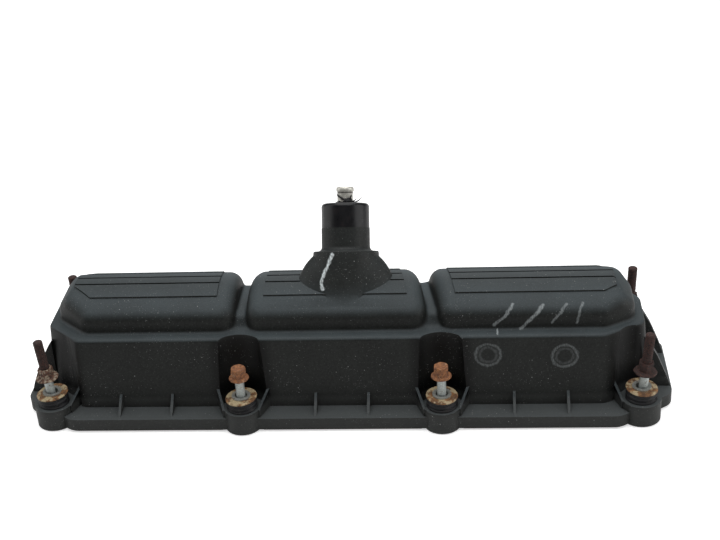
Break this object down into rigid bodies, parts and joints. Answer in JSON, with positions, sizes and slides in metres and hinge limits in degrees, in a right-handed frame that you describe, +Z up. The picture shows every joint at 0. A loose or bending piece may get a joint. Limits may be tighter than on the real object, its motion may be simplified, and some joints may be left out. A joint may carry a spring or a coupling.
{
  "type": "engine valve cover",
  "caption": "Moulded engine valve cover with three rocker domes, a leaning breather tower with its valve, a bead gasket and captive bolts and studs in rubber-isolated seats.",
  "frame": {"origin": "on the gasket's lower face, under the middle of the cover", "axes": "+X along the cover, to the right in the picture; +Y across it, away from the camera and the way the tower leans; +Z up, out of the engine"},
  "size_m": [0.434, 0.1246, 0.135],
  "materials": {
    "moulding": "charcoal glass-filled nylon, fine grain",
    "baffle_plastic": "black moulded plastic",
    "gasket_rubber": "brown-black moulded rubber",
    "grommet_rubber": "black rubber",
    "cap_rubber": "black rubber, satin",
    "hose_rubber": "torn black rubber",
    "sleeve_steel": "dull zinc-plated steel",
    "washer_steel": "zinc-plated steel with rust",
    "bolt_steel": "rusty hexagon, grey zinc shank",
    "stud_steel": "dark rusty steel",
    "valve_steel": "plated steel",
    "spring_steel": "plain spring steel",
    "screw_steel": "zinc-plated steel"
  },
  "bodies": {
    "cover": {"cover_body": "moulding", "perimeter_gasket": "gasket_rubber", "baffle_plate": "baffle_plastic", "baffle_screw_1": "screw_steel", "baffle_screw_2": "screw_steel", "baffle_screw_3": "screw_steel", "baffle_screw_4": "screw_steel", "tower_cap": "cap_rubber", "pcv_valve_body": "valve_steel", "pcv_inlet_disc": "valve_steel", "pcv_spring": "spring_steel", "hose_remnant": "hose_rubber", "grommet_front_left_end": "grommet_rubber", "sleeve_front_left_end": "sleeve_steel", "washer_front_left_end": "washer_steel", "grommet_front_left": "grommet_rubber", "sleeve_front_left": "sleeve_steel", "washer_front_left": "washer_steel", "grommet_front_right": "grommet_rubber", "sleeve_front_right": "sleeve_steel", "washer_front_right": "washer_steel", "grommet_front_right_end": "grommet_rubber", "sleeve_front_right_end": "sleeve_steel", "washer_front_right_end": "washer_steel", "grommet_rear_left_end": "grommet_rubber", "sleeve_rear_left_end": "sleeve_steel", "washer_rear_left_end": "washer_steel", "grommet_rear_left": "grommet_rubber", "sleeve_rear_left": "sleeve_steel", "washer_rear_left": "washer_steel", "grommet_rear_right": "grommet_rubber", "sleeve_rear_right": "sleeve_steel", "washer_rear_right": "washer_steel", "grommet_rear_right_end": "grommet_rubber", "sleeve_rear_right_end": "sleeve_steel", "washer_rear_right_end": "washer_steel"},
    "stud_front_left_end": {"stud_front_left_end": "stud_steel"},
    "bolt_front_left": {"bolt_front_left": "bolt_steel"},
    "bolt_front_right": {"bolt_front_right": "bolt_steel"},
    "stud_front_right_end": {"stud_front_right_end": "stud_steel"},
    "stud_rear_left_end": {"stud_rear_left_end": "stud_steel"},
    "bolt_rear_left": {"bolt_rear_left": "bolt_steel"},
    "bolt_rear_right": {"bolt_rear_right": "bolt_steel"},
    "stud_rear_right_end": {"stud_rear_right_end": "stud_steel"},
    "pintle": {"pcv_pintle": "valve_steel"}
  },
  "joints": [
    {"name": "stud_front_left_end_slide", "type": "slide", "parent": "cover", "child": "stud_front_left_end", "axis": [-0.068, 0, 0.9977], "range_m": [-0.0093, 0.008]},
    {"name": "bolt_front_left_slide", "type": "slide", "parent": "cover", "child": "bolt_front_left", "axis": [0, 0, 1], "range_m": [-0.0127, 0.008]},
    {"name": "bolt_front_right_slide", "type": "slide", "parent": "cover", "child": "bolt_front_right", "axis": [0, 0, 1], "range_m": [-0.0127, 0.008]},
    {"name": "stud_front_right_end_slide", "type": "slide", "parent": "cover", "child": "stud_front_right_end", "axis": [0.0767, 0, 0.9971], "range_m": [-0.0093, 0.008]},
    {"name": "stud_rear_left_end_slide", "type": "slide", "parent": "cover", "child": "stud_rear_left_end", "axis": [-0.0349, 0, 0.9994], "range_m": [-0.0093, 0.008]},
    {"name": "bolt_rear_left_slide", "type": "slide", "parent": "cover", "child": "bolt_rear_left", "axis": [0, 0, 1], "range_m": [-0.0127, 0.008]},
    {"name": "bolt_rear_right_slide", "type": "slide", "parent": "cover", "child": "bolt_rear_right", "axis": [0, 0, 1], "range_m": [-0.0127, 0.008]},
    {"name": "stud_rear_right_end_slide", "type": "slide", "parent": "cover", "child": "stud_rear_right_end", "axis": [0.0349, 0, 0.9994], "range_m": [-0.0093, 0.008]},
    {"name": "pcv_pintle_lift", "type": "slide", "parent": "cover", "child": "pintle", "axis": [0, 0.5, 0.866], "range_m": [0, 0.005], "stiffness_N_per_m": 150, "springref_m": -0.004, "deforming": ["pcv_spring"]}
  ]
}
